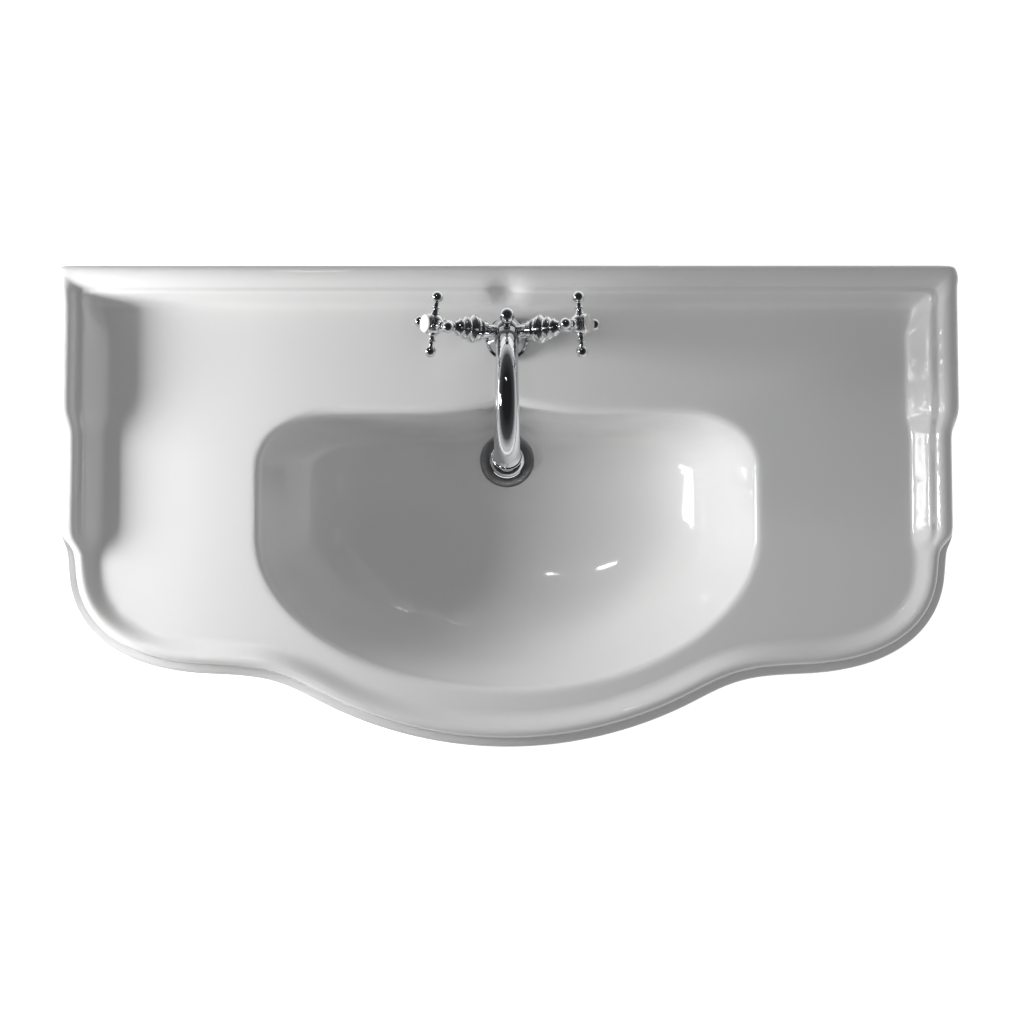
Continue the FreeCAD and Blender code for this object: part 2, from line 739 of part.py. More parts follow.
def build_tap_body():
    """The chromed body: flange, column and globe, with arms for valves, spout and lift rod."""
    flange = cylinder("flange_radius", "flange_thickness", z="gasket_thickness")
    foot = cone("foot_radius", "column_radius", "foot_height", "gasket_thickness + flange_thickness")
    column = cylinder("column_radius", "globe_height - gasket_thickness", z="gasket_thickness")
    shank = cylinder("shank_radius", "shank_end + gasket_thickness", z="-shank_end")
    globe = ball("globe_radius", z="globe_height")
    rod_boss = cylinder("rod_boss_radius", "rod_boss_end - rod_boss_start",
                        y="rod_back", z="rod_boss_start")
    spout_boss = cylinder("spout_boss_radius", "spout_boss_length", z="globe_height",
                          axis=Vector(1, 0, 0), angle="spout_lean_angle")
    solids = [flange, foot, column, shank, globe, rod_boss, spout_boss]
    rod_hole = cylinder("rod_radius + running_gap", "rod_boss_end + shank_end + 2 * cut_overrun",
                        y="rod_back", z="-shank_end - cut_overrun")
    stud_hole = cylinder("stud_radius + running_gap", "stud_socket + cut_overrun",
                         y="-stud_forward", z="-shank_end - cut_overrun")
    socket = put(cylinder("spout_spigot_radius + seat_gap", "spout_boss_length"), z="globe_height",
                 axis=Vector(1, 0, 0), angle="spout_lean_angle")
    start = cylinder("spout_spigot_radius + cut_overrun", "spout_spigot_start - seat_gap",
                     z="globe_height", axis=Vector(1, 0, 0), angle="spout_lean_angle")
    tools = [rod_hole, stud_hole, cut(socket, start)]
    for side in (-1, 1):
        axis = Vector(0, side, 0)
        solids.append(cylinder("arm_radius", "arm_length", z="globe_height",
                               axis=axis, angle="valve_tilt"))
        bore = cylinder("valve_radius + seat_gap", "arm_length + cut_overrun",
                        z="globe_height", axis=axis, angle="valve_tilt")
        plug = cylinder("valve_radius + cut_overrun", "valve_start - seat_gap",
                        z="globe_height", axis=axis, angle="valve_tilt")
        tools.append(cut(bore, plug))
        place = f"{side} * inlet_spacing / 2"
        tools.append(cylinder("inlet_radius", "inlet_depth + cut_overrun",
                              x=place, y="inlet_back", z="-shank_end - cut_overrun"))
        tools.append(cylinder("waterway_radius", "shank_end + globe_height + waterway_top",
                              x=place, y="inlet_back", z="-shank_end"))
    node(at_tap(cut(fuse(*solids), *tools)), "tap_body")


def build_tap_fixing():
    """The gasket on the deck, and below it the stud, rubber washer, clamp plate and nut."""
    gasket = tube("flange_radius - seat_gap", "shank_radius + seat_gap", "gasket_thickness")
    node(at_tap(gasket), "base_gasket")
    stud = cylinder("stud_radius", "stud_length", y="-stud_forward",
                    z="stud_socket - shank_end - stud_length")
    node(at_tap(stud), "fixing_stud")
    half_moon("rubber_washer", "rubber_thickness", "-deck_thickness - rubber_thickness")
    half_moon("clamp_plate", "clamp_thickness",
              "-deck_thickness - rubber_thickness - clamp_thickness")
    hexagon = bind(doc.addObject("Part::Prism", "Hexagon"),
                   Circumradius="nut_flats / sqrt(3)", Height="nut_height")
    hexagon.Polygon = 6
    hole = cylinder("stud_radius + running_gap", "nut_height + 2 * cut_overrun", z="-cut_overrun")
    nut = cut(hexagon, hole)
    top = "deck_thickness + rubber_thickness + clamp_thickness"
    put(nut, y="-tap_back - stud_forward", z=f"deck_height - ({top}) - nut_height")
    node(nut, "fixing_nut")


def half_moon(label, thickness, height):
    """A half-round plate round the stud, open at the back for the hoses and the lift rod."""
    body = doc.addObject("PartDesign::Body", "Body")
    sketch = body.newObject("Sketcher::SketchObject", "Sketch")
    plane = [item for item in body.Origin.OriginFeatures if item.Role == "XY_Plane"][0]
    sketch.AttachmentSupport = (plane, "")
    sketch.MapMode = "FlatFace"
    radius, rise = size("clamp_radius"), -size("clamp_back")
    angle = math.asin(rise / radius)
    circle = Part.Circle(Vector(), Vector(0, 0, 1), radius)
    arc = sketch.addGeometry(Part.ArcOfCircle(circle, math.pi - angle, 2 * math.pi + angle))
    reach = radius * math.cos(angle)
    chord = sketch.addGeometry(Part.LineSegment(Vector(reach, rise, 0), Vector(-reach, rise, 0)))
    hole = sketch.addGeometry(Part.Circle(Vector(0, -size("stud_forward"), 0), Vector(0, 0, 1),
                                          size("stud_radius")))
    rules = [
        ("Coincident", arc, 3, -1, 1), ("Coincident", arc, 2, chord, 1),
        ("Coincident", chord, 2, arc, 1), ("Horizontal", chord), ("PointOnObject", hole, 3, -2),
    ]
    for rule in rules:
        sketch.addConstraint(Sketcher.Constraint(*rule))
    measures = [
        (("Radius", arc, radius), "clamp_radius"),
        (("DistanceY", chord, 1, -1, 1, -rise), "clamp_back"),
        (("Radius", hole, size("stud_radius")), "stud_radius + seat_gap"),
        (("DistanceY", hole, 3, -1, 1, size("stud_forward")), "stud_forward"),
    ]
    for rule, expression in measures:
        place = sketch.addConstraint(Sketcher.Constraint(*rule))
        sketch.setExpression(f"Constraints[{place}]", cells(expression))
    pad = body.newObject("PartDesign::Pad", "Pad")
    pad.Profile = sketch
    pad.setExpression("Length", cells(thickness))
    put(body, y="-tap_back", z=f"deck_height + {height}")
    node(body, label)


def build_valve(side, name, turn):
    """One valve with its bonnet, spindle and cross handle, all along the valve's axis."""
    flange_end = "arm_length + valve_flange_thickness"
    insert = cylinder("valve_radius", "arm_length - valve_start", z="valve_start")
    flange = cylinder("valve_flange_radius", "valve_flange_thickness", z="arm_length")
    neck = cylinder("valve_neck_radius", f"valve_end - ({flange_end})", z=flange_end)
    bore = cylinder("spindle_radius + running_gap", "valve_end", z="spindle_start - running_gap")
    node(at_valve(cut(fuse(insert, flange, neck), bore), side), f"{name}_valve")

    collar = cylinder("bonnet_collar_radius", f"bonnet_bell_start - ({flange_end})", z=flange_end)
    bell = cylinder("bonnet_bell_radius - mouth_lip", "bonnet_bell_length", z="bonnet_bell_start")
    roll = ring("bonnet_bell_radius - bonnet_bell_length / 2", "bonnet_bell_length / 2",
                "bonnet_bell_start + bonnet_bell_length / 2")
    taper = cone("bonnet_bell_radius - mouth_lip", "bonnet_waist_radius",
                 "valve_end - bonnet_bell_start - bonnet_bell_length",
                 "bonnet_bell_start + bonnet_bell_length")
    top = cylinder("bonnet_waist_radius", "bonnet_end - valve_end", z="valve_end")
    bead = ring("bonnet_waist_radius", "(bonnet_end - valve_end) / 4", "(bonnet_end + valve_end) / 2")
    inside = cylinder("valve_neck_radius + seat_gap",
                      f"valve_end + seat_gap - ({flange_end}) + cut_overrun",
                      z=f"({flange_end}) - cut_overrun")
    passage = cylinder("spindle_radius + seat_gap", "bonnet_end", z="arm_length")
    shroud = cut(fuse(collar, bell, roll, taper, top, bead), inside, passage)
    node(at_valve(shroud, side), f"{name}_bonnet")

    thread = cylinder("screw_radius + running_gap", "spindle_end",
                      z="spindle_end + hub_web - screw_length - seat_gap")
    spindle = cut(cylinder("spindle_radius", "spindle_end - spindle_start", z="spindle_start"), thread)
    node(at_valve(spindle, side), f"{name}_spindle")

    skirt = cylinder("handle_neck_radius", "hub_start - handle_start", z="handle_start")
    knuckle = ball("handle_bead_radius", z="handle_bead_place")
    hub = cylinder("hub_radius", "hub_end - hub_start", z="hub_start")
    collar = ring("hub_radius - cross_arm_radius / 2", "cross_arm_radius / 2", "hub_start")
    crosspiece = [skirt, knuckle, hub, collar]
    for quarter in range(4):
        angle = quarter * math.pi / 2
        lean = Vector(-math.sin(angle), math.cos(angle), 0)
        arm = cylinder("cross_arm_radius", "cross_reach - hub_radius / 2", z="hub_radius / 2")
        arm = fuse(arm, ball("cross_ball_radius", z="cross_reach"))
        crosspiece.append(put(arm, z="cross_place", axis=lean, angle="90"))
    socket = cylinder("spindle_radius + running_gap", "spindle_end - handle_start + cut_overrun",
                      z="handle_start - cut_overrun")
    screw_way = cylinder("screw_radius + seat_gap", "hub_end - spindle_end", z="spindle_end")
    cup = cylinder("hub_cup_radius", "hub_cup_depth + cut_overrun", z="hub_end - hub_cup_depth")
    handle = put(cut(fuse(*crosspiece), socket, screw_way, cup), axis=Vector(0, 0, side), angle=turn)
    node(at_valve(handle, side), f"{name}_cross_handle")

    head = cylinder("screw_head_radius", "screw_head_height", z="spindle_end + hub_web")
    shank = cylinder("screw_radius", "screw_length", z="spindle_end + hub_web - screw_length")
    node(at_valve(fuse(head, shank), side), f"{name}_handle_screw")

    disc = cylinder("cap_radius", "cap_thickness", z="hub_end")
    crown = cone("cap_radius", "cap_radius - 2 * cap_crown", "cap_crown", "hub_end + cap_thickness")
    spigot = cylinder("hub_cup_radius - seat_gap", "hub_cup_depth / 4", z="hub_end - hub_cup_depth / 4")
    node(at_valve(fuse(disc, crown, spigot), side), f"{name}_index_cap")


def spout_path():
    """The spout's middle line: a rise, one long bend over the front, and a short fall."""
    path = doc.addObject("Sketcher::SketchObject", "SpoutPath")
    path.Placement = FreeCAD.Placement(Vector(), Rotation(Vector(1, 0, 0), 90))
    start, rise = size("spout_spigot_start"), size("spout_rise")
    radius, bend = size("spout_bend_radius"), math.radians(size("spout_bend_angle"))
    centre = Vector(radius, rise, 0)
    end = centre + Vector(-math.cos(bend), math.sin(bend), 0) * radius
    along_end = Vector(math.sin(bend), math.cos(bend), 0)
    first = path.addGeometry(Part.LineSegment(Vector(0, start, 0), Vector(0, rise, 0)))
    circle = Part.Circle(centre, Vector(0, 0, 1), radius)
    arc = path.addGeometry(Part.ArcOfCircle(circle, math.pi - bend, math.pi))
    last = path.addGeometry(Part.LineSegment(end, end + along_end * size("spout_fall")))
    rules = [
        ("PointOnObject", first, 1, -2), ("Vertical", first),
        ("Tangent", first, 2, arc, 2), ("Tangent", arc, 1, last, 1),
    ]
    for rule in rules:
        path.addConstraint(Sketcher.Constraint(*rule))
    measures = [
        (("DistanceY", -1, 1, first, 1, start), "spout_spigot_start"),
        (("DistanceY", -1, 1, first, 2, rise), "spout_rise"),
        (("Radius", arc, radius), "spout_bend_radius"),
        (("Angle", arc, bend), "spout_bend_angle * 1 deg"),
        (("Distance", last, size("spout_fall")), "spout_fall"),
    ]
    for rule, expression in measures:
        place = path.addConstraint(Sketcher.Constraint(*rule))
        path.setExpression(f"Constraints[{place}]", cells(expression))
    return path


def swept(path, radius, end_radius):
    """A round bar along the spout's path, from one radius to another."""
    first = bind(doc.addObject("Part::Circle", "Circle"), Radius=radius)
    put(first, z="spout_spigot_start")
    last = at_mouth(bind(doc.addObject("Part::Circle", "Circle"), Radius=end_radius))
    bar = doc.addObject("Part::Sweep", "Sweep")
    bar.Sections = [first, last]
    bar.Spine = (path, ["Edge1", "Edge2", "Edge3"])
    bar.Solid = True
    return bar


def at_mouth(piece):
    """Carry a piece to the spout's mouth, pointing the way that the water leaves."""
    turned = "spout_bend_angle * 1 deg"
    return put(
        carried(piece),
        x=f"spout_bend_radius * (1 - cos({turned})) + spout_fall * sin({turned})",
        z=f"spout_rise + spout_bend_radius * sin({turned}) + spout_fall * cos({turned})",
        axis=Vector(0, 1, 0), angle="spout_bend_angle",
    )


def at_spout(piece):
    """Set a piece of the spout on the globe, leaning over the bowl."""
    turned = put(carried(piece), axis=Vector(0, 0, -1), angle="90")
    return put(carried(turned), y="-tap_back", z="deck_height + globe_height",
               axis=Vector(1, 0, 0), angle="spout_lean_angle")


def build_spout():
    """The spout with its flared mouth, its seal, and the aerator in the mouth."""
    path = spout_path()
    seat = "spout_boss_length + spout_seal_thickness"
    trim = tube("2 * spout_tube_radius", "spout_spigot_radius",
                f"{seat} - spout_spigot_start + cut_overrun", "spout_spigot_start - cut_overrun")
    flare = cone("spout_tube_radius", "mouth_radius - mouth_lip / 2",
                 "mouth_length", "-mouth_length")
    lip = ring("mouth_radius - mouth_lip", "mouth_lip", "-mouth_lip")
    recess = cylinder("aerator_radius + seat_gap", "mouth_recess + cut_overrun", z="-mouth_recess")
    body = fuse(swept(path, "spout_tube_radius", "spout_end_radius"), at_mouth(fuse(flare, lip)))
    whole = cut(body, trim, swept(path, "spout_bore_radius", "spout_bore_radius"), at_mouth(recess))
    node(at_spout(whole), "spout")
    seal = tube("spout_boss_radius - seat_gap", "spout_spigot_radius + seat_gap",
                "spout_seal_thickness", "spout_boss_length")
    node(at_spout(seal), "spout_seal")
    sleeve = tube("aerator_radius", "aerator_radius - aerator_wall", "mouth_recess", "-mouth_recess")
    node(at_spout(at_mouth(sleeve)), "aerator_sleeve")
    insert_radius = "aerator_radius - aerator_wall - seat_gap"
    holes = []
    for count in range(6):
        angle = count * math.pi / 3
        place = [f"{part:.6f} * aerator_hole_place" for part in (math.cos(angle), math.sin(angle))]
        holes.append(cylinder("aerator_hole_radius", "aerator_thickness + 2 * cut_overrun", *place,
                              "-aerator_thickness - cut_overrun"))
    insert = cut(cylinder(insert_radius, "aerator_thickness", z="-aerator_thickness"), *holes)
    node(at_spout(at_mouth(insert)), "aerator_insert")


def build_lift():
    """The pop-up lift: knob on its rod, the strap below, and the screw that grips the rod."""
    knob = ball("knob_radius", y="rod_back", z="knob_place")
    neck = cylinder("knob_neck_radius", "knob_place - knob_neck_start", y="rod_back", z="knob_neck_start")
    bead = ball("knob_bead_radius", y="rod_back", z="knob_bead_place")
    socket = cylinder("rod_radius + running_gap", "knob_place - knob_neck_start",
                      y="rod_back", z="knob_neck_start - knob_neck_radius")
    node(at_tap(cut(fuse(knob, neck, bead), socket)), "lift_knob")
    rod_top = "knob_place - knob_neck_radius - seat_gap"
    node(at_tap(cylinder("rod_radius", f"rod_end + {rod_top}", y="rod_back", z="-rod_end")), "lift_rod")

    middle = f"-bowl_depth - lever_drop - ({LEVER_REACH}) * tan(lever_tilt * 1 deg)"
    head = block("strap_block_width", "strap_block_width", "strap_block_height", "-rod_end", "rod_back")
    plate = block("strap_width", "strap_thickness", f"-rod_end - ({middle}) + strap_tail",
                  f"({middle}) - strap_tail", "rod_back")
    grip = cylinder("rod_radius + running_gap", "strap_block_height + cut_overrun",
                    y="rod_back", z="-rod_end")
    thread = cylinder("strap_screw_radius", "strap_block_width", y="rod_back",
                      z="strap_block_height / 2 - rod_end", axis=Vector(0, 1, 0), angle="90")
    tools = [grip, thread]
    for count in range(STRAP_HOLES):
        tools.append(cylinder("strap_hole_radius", "strap_width", y="rod_back + strap_width / 2",
                              z=f"({middle}) + {count} * strap_hole_pitch",
                              axis=Vector(1, 0, 0), angle="90"))
    node(at_tap(cut(fuse(head, plate), *tools)), "link_strap")
    screw = cylinder("strap_screw_radius", "strap_screw_length", x="rod_radius + seat_gap", y="rod_back",
                     z="strap_block_height / 2 - rod_end", axis=Vector(0, 1, 0), angle="90")
    node(at_tap(screw), "strap_screw")


def build_lever():
    """The pivot rod from the plug's stem, through its ball, to the strap, with its seal and nut."""
    pivot = ball("pivot_ball_radius")
    tail = cylinder("lever_radius", f"({LEVER_REACH}) + lever_tail")
    tip = cylinder("lever_radius", "lever_forward + lever_tip", z="-lever_forward - lever_tip")
    lever = fuse(pivot, tail, tip)
    put(lever, y="lever_forward - drain_back", z="deck_height - bowl_depth - lever_drop",
        axis=Vector(-1, 0, 0), angle="90 + lever_tilt")
    node(lever, "pivot_rod")
    seal = tube("port_radius - seat_gap", "port_bore_radius", "pivot_seal_thickness", "port_reach")
    wall = "port_reach + pivot_seal_thickness"
    shell = cylinder("pivot_nut_radius", f"{wall} + pivot_nut_wall + pivot_nut_grip", z="-pivot_nut_grip")
    hollow = cylinder("port_radius + running_gap", f"{wall} + pivot_nut_grip + cut_overrun",
                      z="-pivot_nut_grip - cut_overrun")
    hole = cylinder("pivot_nut_hole_radius", f"{wall} + pivot_nut_wall + cut_overrun")
    for piece, label in ((seal, "pivot_seal"), (cut(shell, hollow, hole), "pivot_nut")):
        put(piece, y="lever_forward - drain_back", z="deck_height - bowl_depth - lever_drop",
            axis=Vector(-1, 0, 0), angle="90")
        node(piece, label)


def build_waste():
    """The waste: dished flange on its threaded sleeve, two seals and the body with its tail."""
    floor = "-drain_recess_depth"
    under = f"{floor} + waste_seal_thickness"
    seal = tube("waste_flange_radius - seat_gap", "waste_sleeve_radius + seat_gap",
                "waste_seal_thickness", floor)
    node(at_drain(seal), "upper_waste_seal")
    disc = cylinder("waste_flange_radius", "waste_flange_thickness", z=under)
    sleeve = cylinder("waste_sleeve_radius", "waste_sleeve_length", z=f"{under} - waste_sleeve_length")
    bore = cylinder("waste_bore_radius", "waste_sleeve_length + waste_flange_thickness + 2 * cut_overrun",
                    z=f"{under} - waste_sleeve_length - cut_overrun")
    dish = cone("waste_bore_radius", "waste_flange_radius - waste_dish_depth", "waste_dish_depth",
                f"{under} + waste_flange_thickness - waste_dish_depth")
    node(at_drain(cut(fuse(disc, sleeve), bore, dish)), "waste_flange")

    base = "-drain_boss_depth - lower_seal_thickness"
    seal = tube("waste_collar_radius", "waste_sleeve_radius + seat_gap", "lower_seal_thickness", base)
    node(at_drain(seal), "lower_waste_seal")
    collar_end = f"{base} - waste_collar_thickness"
    barrel_end = f"{base} - waste_barrel_length"
    tail_start = f"{barrel_end} - waste_cone_length"
    collar = cylinder("waste_collar_radius", "waste_collar_thickness", z=collar_end)
    barrel = cylinder("waste_barrel_radius", "waste_barrel_length", z=barrel_end)
    taper = cone("tail_radius", "waste_barrel_radius", "waste_cone_length", tail_start)
    tail = cylinder("tail_radius", "tail_length", z=f"{tail_start} - tail_length")
    port = cylinder("port_radius", "lever_forward + port_reach", z="-lever_drop",
                    axis=Vector(-1, 0, 0), angle="90")
    thread = cylinder("waste_sleeve_radius + running_gap", "waste_sleeve_length",
                      z=f"{under} - waste_sleeve_length - seat_gap")
    chamber = cylinder("waste_bore_radius", "waste_barrel_length", z=f"{barrel_end} + waste_cone_length")
    bore = cylinder("tail_bore_radius", "tail_length + 2 * waste_cone_length + 2 * cut_overrun",
                    z=f"{tail_start} - tail_length - cut_overrun")
    port_bore = cylinder("port_bore_radius", "lever_forward + port_reach + cut_overrun", z="-lever_drop",
                         axis=Vector(-1, 0, 0), angle="90")
    body = cut(fuse(collar, barrel, taper, tail, port), thread, chamber, bore, port_bore)
    node(at_drain(body), "waste_body")


def build_plug():
    """The plug, raised as in an open waste, with its seal and the stem that the lever lifts."""
    seat = "waste_seal_thickness + waste_flange_thickness - drain_recess_depth - waste_dish_depth"
    bottom = f"{seat} + {PLUG_RAISE}"
    edge = cylinder("plug_radius", "plug_edge", z=bottom)
    crown = cone("plug_radius", "plug_top_radius", "plug_crown", f"{bottom} + plug_edge")
    socket = cylinder("plug_stem_radius + running_gap", "plug_edge + cut_overrun",
                      z=f"{bottom} - cut_overrun")
    node(at_drain(cut(fuse(edge, crown), socket)), "plug")
    seal = tube("plug_seal_radius", "plug_stem_radius + seat_gap", "plug_seal_thickness",
                f"{bottom} - plug_seal_thickness")
    node(at_drain(seal), "plug_seal")
    eye = "lever_forward * tan(lever_tilt * 1 deg) - lever_drop"
    stem_start = f"({eye}) + stem_blade_height / 2 - cut_overrun"
    stem = cylinder("plug_stem_radius", f"{bottom} + plug_edge - seat_gap - ({stem_start})", z=stem_start)
    blade = block("stem_blade_width", "stem_blade_thickness", "stem_blade_height",
                  f"({eye}) - stem_blade_height / 2")
    hole = cylinder("stem_eye_radius", "2 * stem_blade_width", y="stem_blade_width", z=eye,
                    axis=Vector(1, 0, 0), angle="90")
    node(at_drain(cut(fuse(stem, blade), hole)), "plug_stem")


def export():
    """Check every object and piece, then write one file for each piece."""
    doc.recompute()
    failed = [item.Label for item in doc.Objects if {"Invalid", "Error"} & set(item.State)]
    if failed:
        raise RuntimeError(f"failed objects: {failed}")
    for piece in NODES:
        shape = piece.Shape
        if shape.isNull() or not shape.isValid() or not shape.Solids:
            raise RuntimeError(f"bad shape: {piece.Label}")
    os.makedirs("parts", exist_ok=True)
    for piece in NODES:
        piece.Shape.exportStep(f"parts/{piece.Label}.step")


build_basin()
build_tap_body()
build_tap_fixing()
for side, name in ((-1, "left"), (1, "right")):
    build_valve(side, name, f"{name}_handle_angle")
build_spout()
build_lift()
build_lever()
build_waste()
build_plug()
export()
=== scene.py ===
import bmesh
import bpy
import json
import math
from mathutils import Matrix, Vector


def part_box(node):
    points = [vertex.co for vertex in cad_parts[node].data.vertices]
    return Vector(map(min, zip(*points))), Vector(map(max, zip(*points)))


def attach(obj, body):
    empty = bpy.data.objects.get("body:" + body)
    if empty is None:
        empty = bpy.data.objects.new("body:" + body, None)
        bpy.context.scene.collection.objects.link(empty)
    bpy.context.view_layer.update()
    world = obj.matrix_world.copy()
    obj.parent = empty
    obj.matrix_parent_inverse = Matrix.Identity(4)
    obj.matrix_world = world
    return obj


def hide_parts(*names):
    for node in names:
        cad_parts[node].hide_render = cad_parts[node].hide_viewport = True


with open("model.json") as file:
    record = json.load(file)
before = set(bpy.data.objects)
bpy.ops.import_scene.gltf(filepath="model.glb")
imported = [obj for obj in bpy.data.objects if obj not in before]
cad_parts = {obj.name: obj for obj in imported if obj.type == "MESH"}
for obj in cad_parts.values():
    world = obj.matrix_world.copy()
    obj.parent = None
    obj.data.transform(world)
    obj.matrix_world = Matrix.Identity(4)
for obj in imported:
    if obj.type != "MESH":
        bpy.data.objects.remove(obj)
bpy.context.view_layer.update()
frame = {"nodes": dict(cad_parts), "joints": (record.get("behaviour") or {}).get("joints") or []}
nodes = frame["nodes"]

# Basin: one slip-cast fireclay piece with deck, upstands, lip and bowl, fired with a white glaze.
# The glaze pools a little, so its gloss ripples softly, and it hangs on two bolts in the wall.
glaze_white = (0.80, 0.80, 0.79, 1)
glaze_cool = (0.765, 0.77, 0.77, 1)
noise_low, noise_high = 0.3, 0.7
coat_roughness = 0.03


def new_group(name, inputs, outputs):
    """An empty shader node group with named number inputs and named outputs."""
    group = bpy.data.node_groups.new(name, "ShaderNodeTree")
    for label, value in inputs:
        socket = group.interface.new_socket(label, in_out="INPUT", socket_type="NodeSocketFloat")
        socket.default_value = value
    for label in outputs:
        group.interface.new_socket(label, in_out="OUTPUT", socket_type="NodeSocketFloat")
    return group, group.nodes.new("NodeGroupInput"), group.nodes.new("NodeGroupOutput")


def noise_in(group, entry, scale, detail=3.0):
    """A noise texture over the object's own coordinates, at the scale of one of the group's inputs."""
    place = group.nodes.new("ShaderNodeTexCoord")
    noise = group.nodes.new("ShaderNodeTexNoise")
    noise.inputs["Detail"].default_value = detail
    group.links.new(place.outputs["Object"], noise.inputs["Vector"])
    group.links.new(entry.outputs[scale], noise.inputs["Scale"])
    return noise


def spread(group, entry, noise, low, high):
    """A value between two of the group's inputs, driven by a noise."""
    mapped = group.nodes.new("ShaderNodeMapRange")
    mapped.inputs["From Min"].default_value = noise_low
    mapped.inputs["From Max"].default_value = noise_high
    group.links.new(noise.outputs["Fac"], mapped.inputs["Value"])
    group.links.new(entry.outputs[low], mapped.inputs["To Min"])
    group.links.new(entry.outputs[high], mapped.inputs["To Max"])
    return mapped


# Noise for any surface: a slow one for tone, a finer one for gloss and one for relief.
surface_inputs = [
    ("Tone Scale", 6), ("Gloss Scale", 40), ("Relief Scale", 20),
    ("Gloss Low", 0.1), ("Gloss High", 0.2),
]
surface_group, entry, leave = new_group("surface_variation", surface_inputs, ["Tone", "Gloss", "Relief"])
tone = noise_in(surface_group, entry, "Tone Scale")
gloss = noise_in(surface_group, entry, "Gloss Scale")
relief = noise_in(surface_group, entry, "Relief Scale")
roughness = spread(surface_group, entry, gloss, "Gloss Low", "Gloss High")
surface_group.links.new(tone.outputs["Fac"], leave.inputs["Tone"])
surface_group.links.new(roughness.outputs[0], leave.inputs["Gloss"])
surface_group.links.new(relief.outputs["Fac"], leave.inputs["Relief"])


def finish_of(name, first, second, metallic, scales, gloss, bump, depth, coat=0.0):
    """A material whose colour, gloss and relief vary over the surface through the shared group.

    The scales are those of tone, gloss and relief, and the gloss is its lowest and highest roughness.
    """
    material = bpy.data.materials.new(name)
    material.use_nodes = True
    tree = material.node_tree
    shader = tree.nodes["Principled BSDF"]
    shader.inputs["Metallic"].default_value = metallic
    shader.inputs["Coat Weight"].default_value = coat
    shader.inputs["Coat Roughness"].default_value = coat_roughness
    variation = tree.nodes.new("ShaderNodeGroup")
    variation.node_tree = surface_group
    for (label, _), value in zip(surface_inputs, (*scales, *gloss)):
        variation.inputs[label].default_value = value
    colour = tree.nodes.new("ShaderNodeMix")
    colour.data_type = "RGBA"
    colour.inputs["A"].default_value = first
    colour.inputs["B"].default_value = second
    tree.links.new(variation.outputs["Tone"], colour.inputs["Factor"])
    tree.links.new(colour.outputs["Result"], shader.inputs["Base Color"])
    tree.links.new(variation.outputs["Gloss"], shader.inputs["Roughness"])
    ripple = tree.nodes.new("ShaderNodeBump")
    ripple.inputs["Strength"].default_value = bump
    ripple.inputs["Distance"].default_value = depth
    tree.links.new(variation.outputs["Relief"], ripple.inputs["Height"])
    tree.links.new(ripple.outputs["Normal"], shader.inputs["Normal"])
    return material


def dress(material, slot, *names):
    """Give CAD nodes a material. The record's slot that it stands for is not used."""
    for name in names:
        nodes[name].data.materials.clear()
        nodes[name].data.materials.append(material)


white_glaze = finish_of(
    "white_glaze", glaze_white, glaze_cool, metallic=0.0,
    scales=(5, 30, 9), gloss=(0.07, 0.11), bump=0.05, depth=0.002, coat=0.6,
)
dress(white_glaze, "glaze", "basin")

# Tap fixing: a gasket under the flange, and below the deck a stud, a washer, a clamp plate and a nut.
# The metal pieces are plain zinc-plated steel; the gasket and the washer are moulded black rubber.
rubber_black = (0.02, 0.02, 0.02, 1)
rubber_grey = (0.05, 0.05, 0.05, 1)
zinc_light = (0.62, 0.63, 0.64, 1)
zinc_dark = (0.48, 0.49, 0.5, 1)
rubber = finish_of(
    "moulded_rubber", rubber_black, rubber_grey, metallic=0.0,
    scales=(90, 300, 900), gloss=(0.55, 0.75), bump=0.25, depth=0.0004,
)
zinc = finish_of(
    "zinc_plate", zinc_light, zinc_dark, metallic=1.0,
    scales=(120, 400, 900), gloss=(0.25, 0.42), bump=0.1, depth=0.0002,
)
dress(rubber, "rubber", "base_gasket", "rubber_washer")
dress(zinc, "steel", "fixing_stud", "clamp_plate", "fixing_nut")

# Tap body: a chromed brass casting with its flange, column and globe.
# It is bored for two valves and the spout, and the stud below draws it down on the deck.
chrome_bright = (0.80, 0.81, 0.82, 1)
chrome_deep = (0.72, 0.73, 0.745, 1)
chrome = finish_of(
    "polished_chrome", chrome_bright, chrome_deep, metallic=1.0,
    scales=(30, 200, 60), gloss=(0.03, 0.07), bump=0.02, depth=0.0003,
)
dress(chrome, "chrome", "tap_body")

# Valves: chromed brass inserts screwed into the arms of the body, each with a bare brass spindle.
# The spindle runs in the insert, and the cross handle on its end turns it.
brass_light = (0.74, 0.58, 0.30, 1)
brass_dark = (0.62, 0.46, 0.22, 1)
brass = finish_of(
    "turned_brass", brass_light, brass_dark, metallic=1.0,
    scales=(60, 300, 500), gloss=(0.2, 0.34), bump=0.1, depth=0.0002,
)
for side in ("left", "right"):
    dress(chrome, "chrome", f"{side}_valve")
    dress(brass, "brass", f"{side}_spindle")

# Bonnets: turned and chromed brass shrouds over the valves, one on each arm of the tap body.
# Each has a collar, one wide band and two narrower ones, and screws down on its valve.
joints = {joint["name"]: joint for joint in frame["joints"]}
spin_steps = 96
smooth_limit = math.radians(32)
weld_distance = 1e-6
speck_size = 1e-7


def valve_axis(side):
    """The place and the direction of a handle's joint."""
    joint = joints[f"{side}_turn"]
    return Vector(joint["pos_m"]), Vector(joint["axis"]).normalized()


def reach(node, place, axis):
    """Where a node starts and ends along an axis, and its largest radius about it."""
    offsets = [vertex.co - place for vertex in nodes[node].data.vertices]
    along = [offset.dot(axis) for offset in offsets]
    radii = [(offset - axis * far).length for offset, far in zip(offsets, along)]
    return min(along), max(along), max(radii)


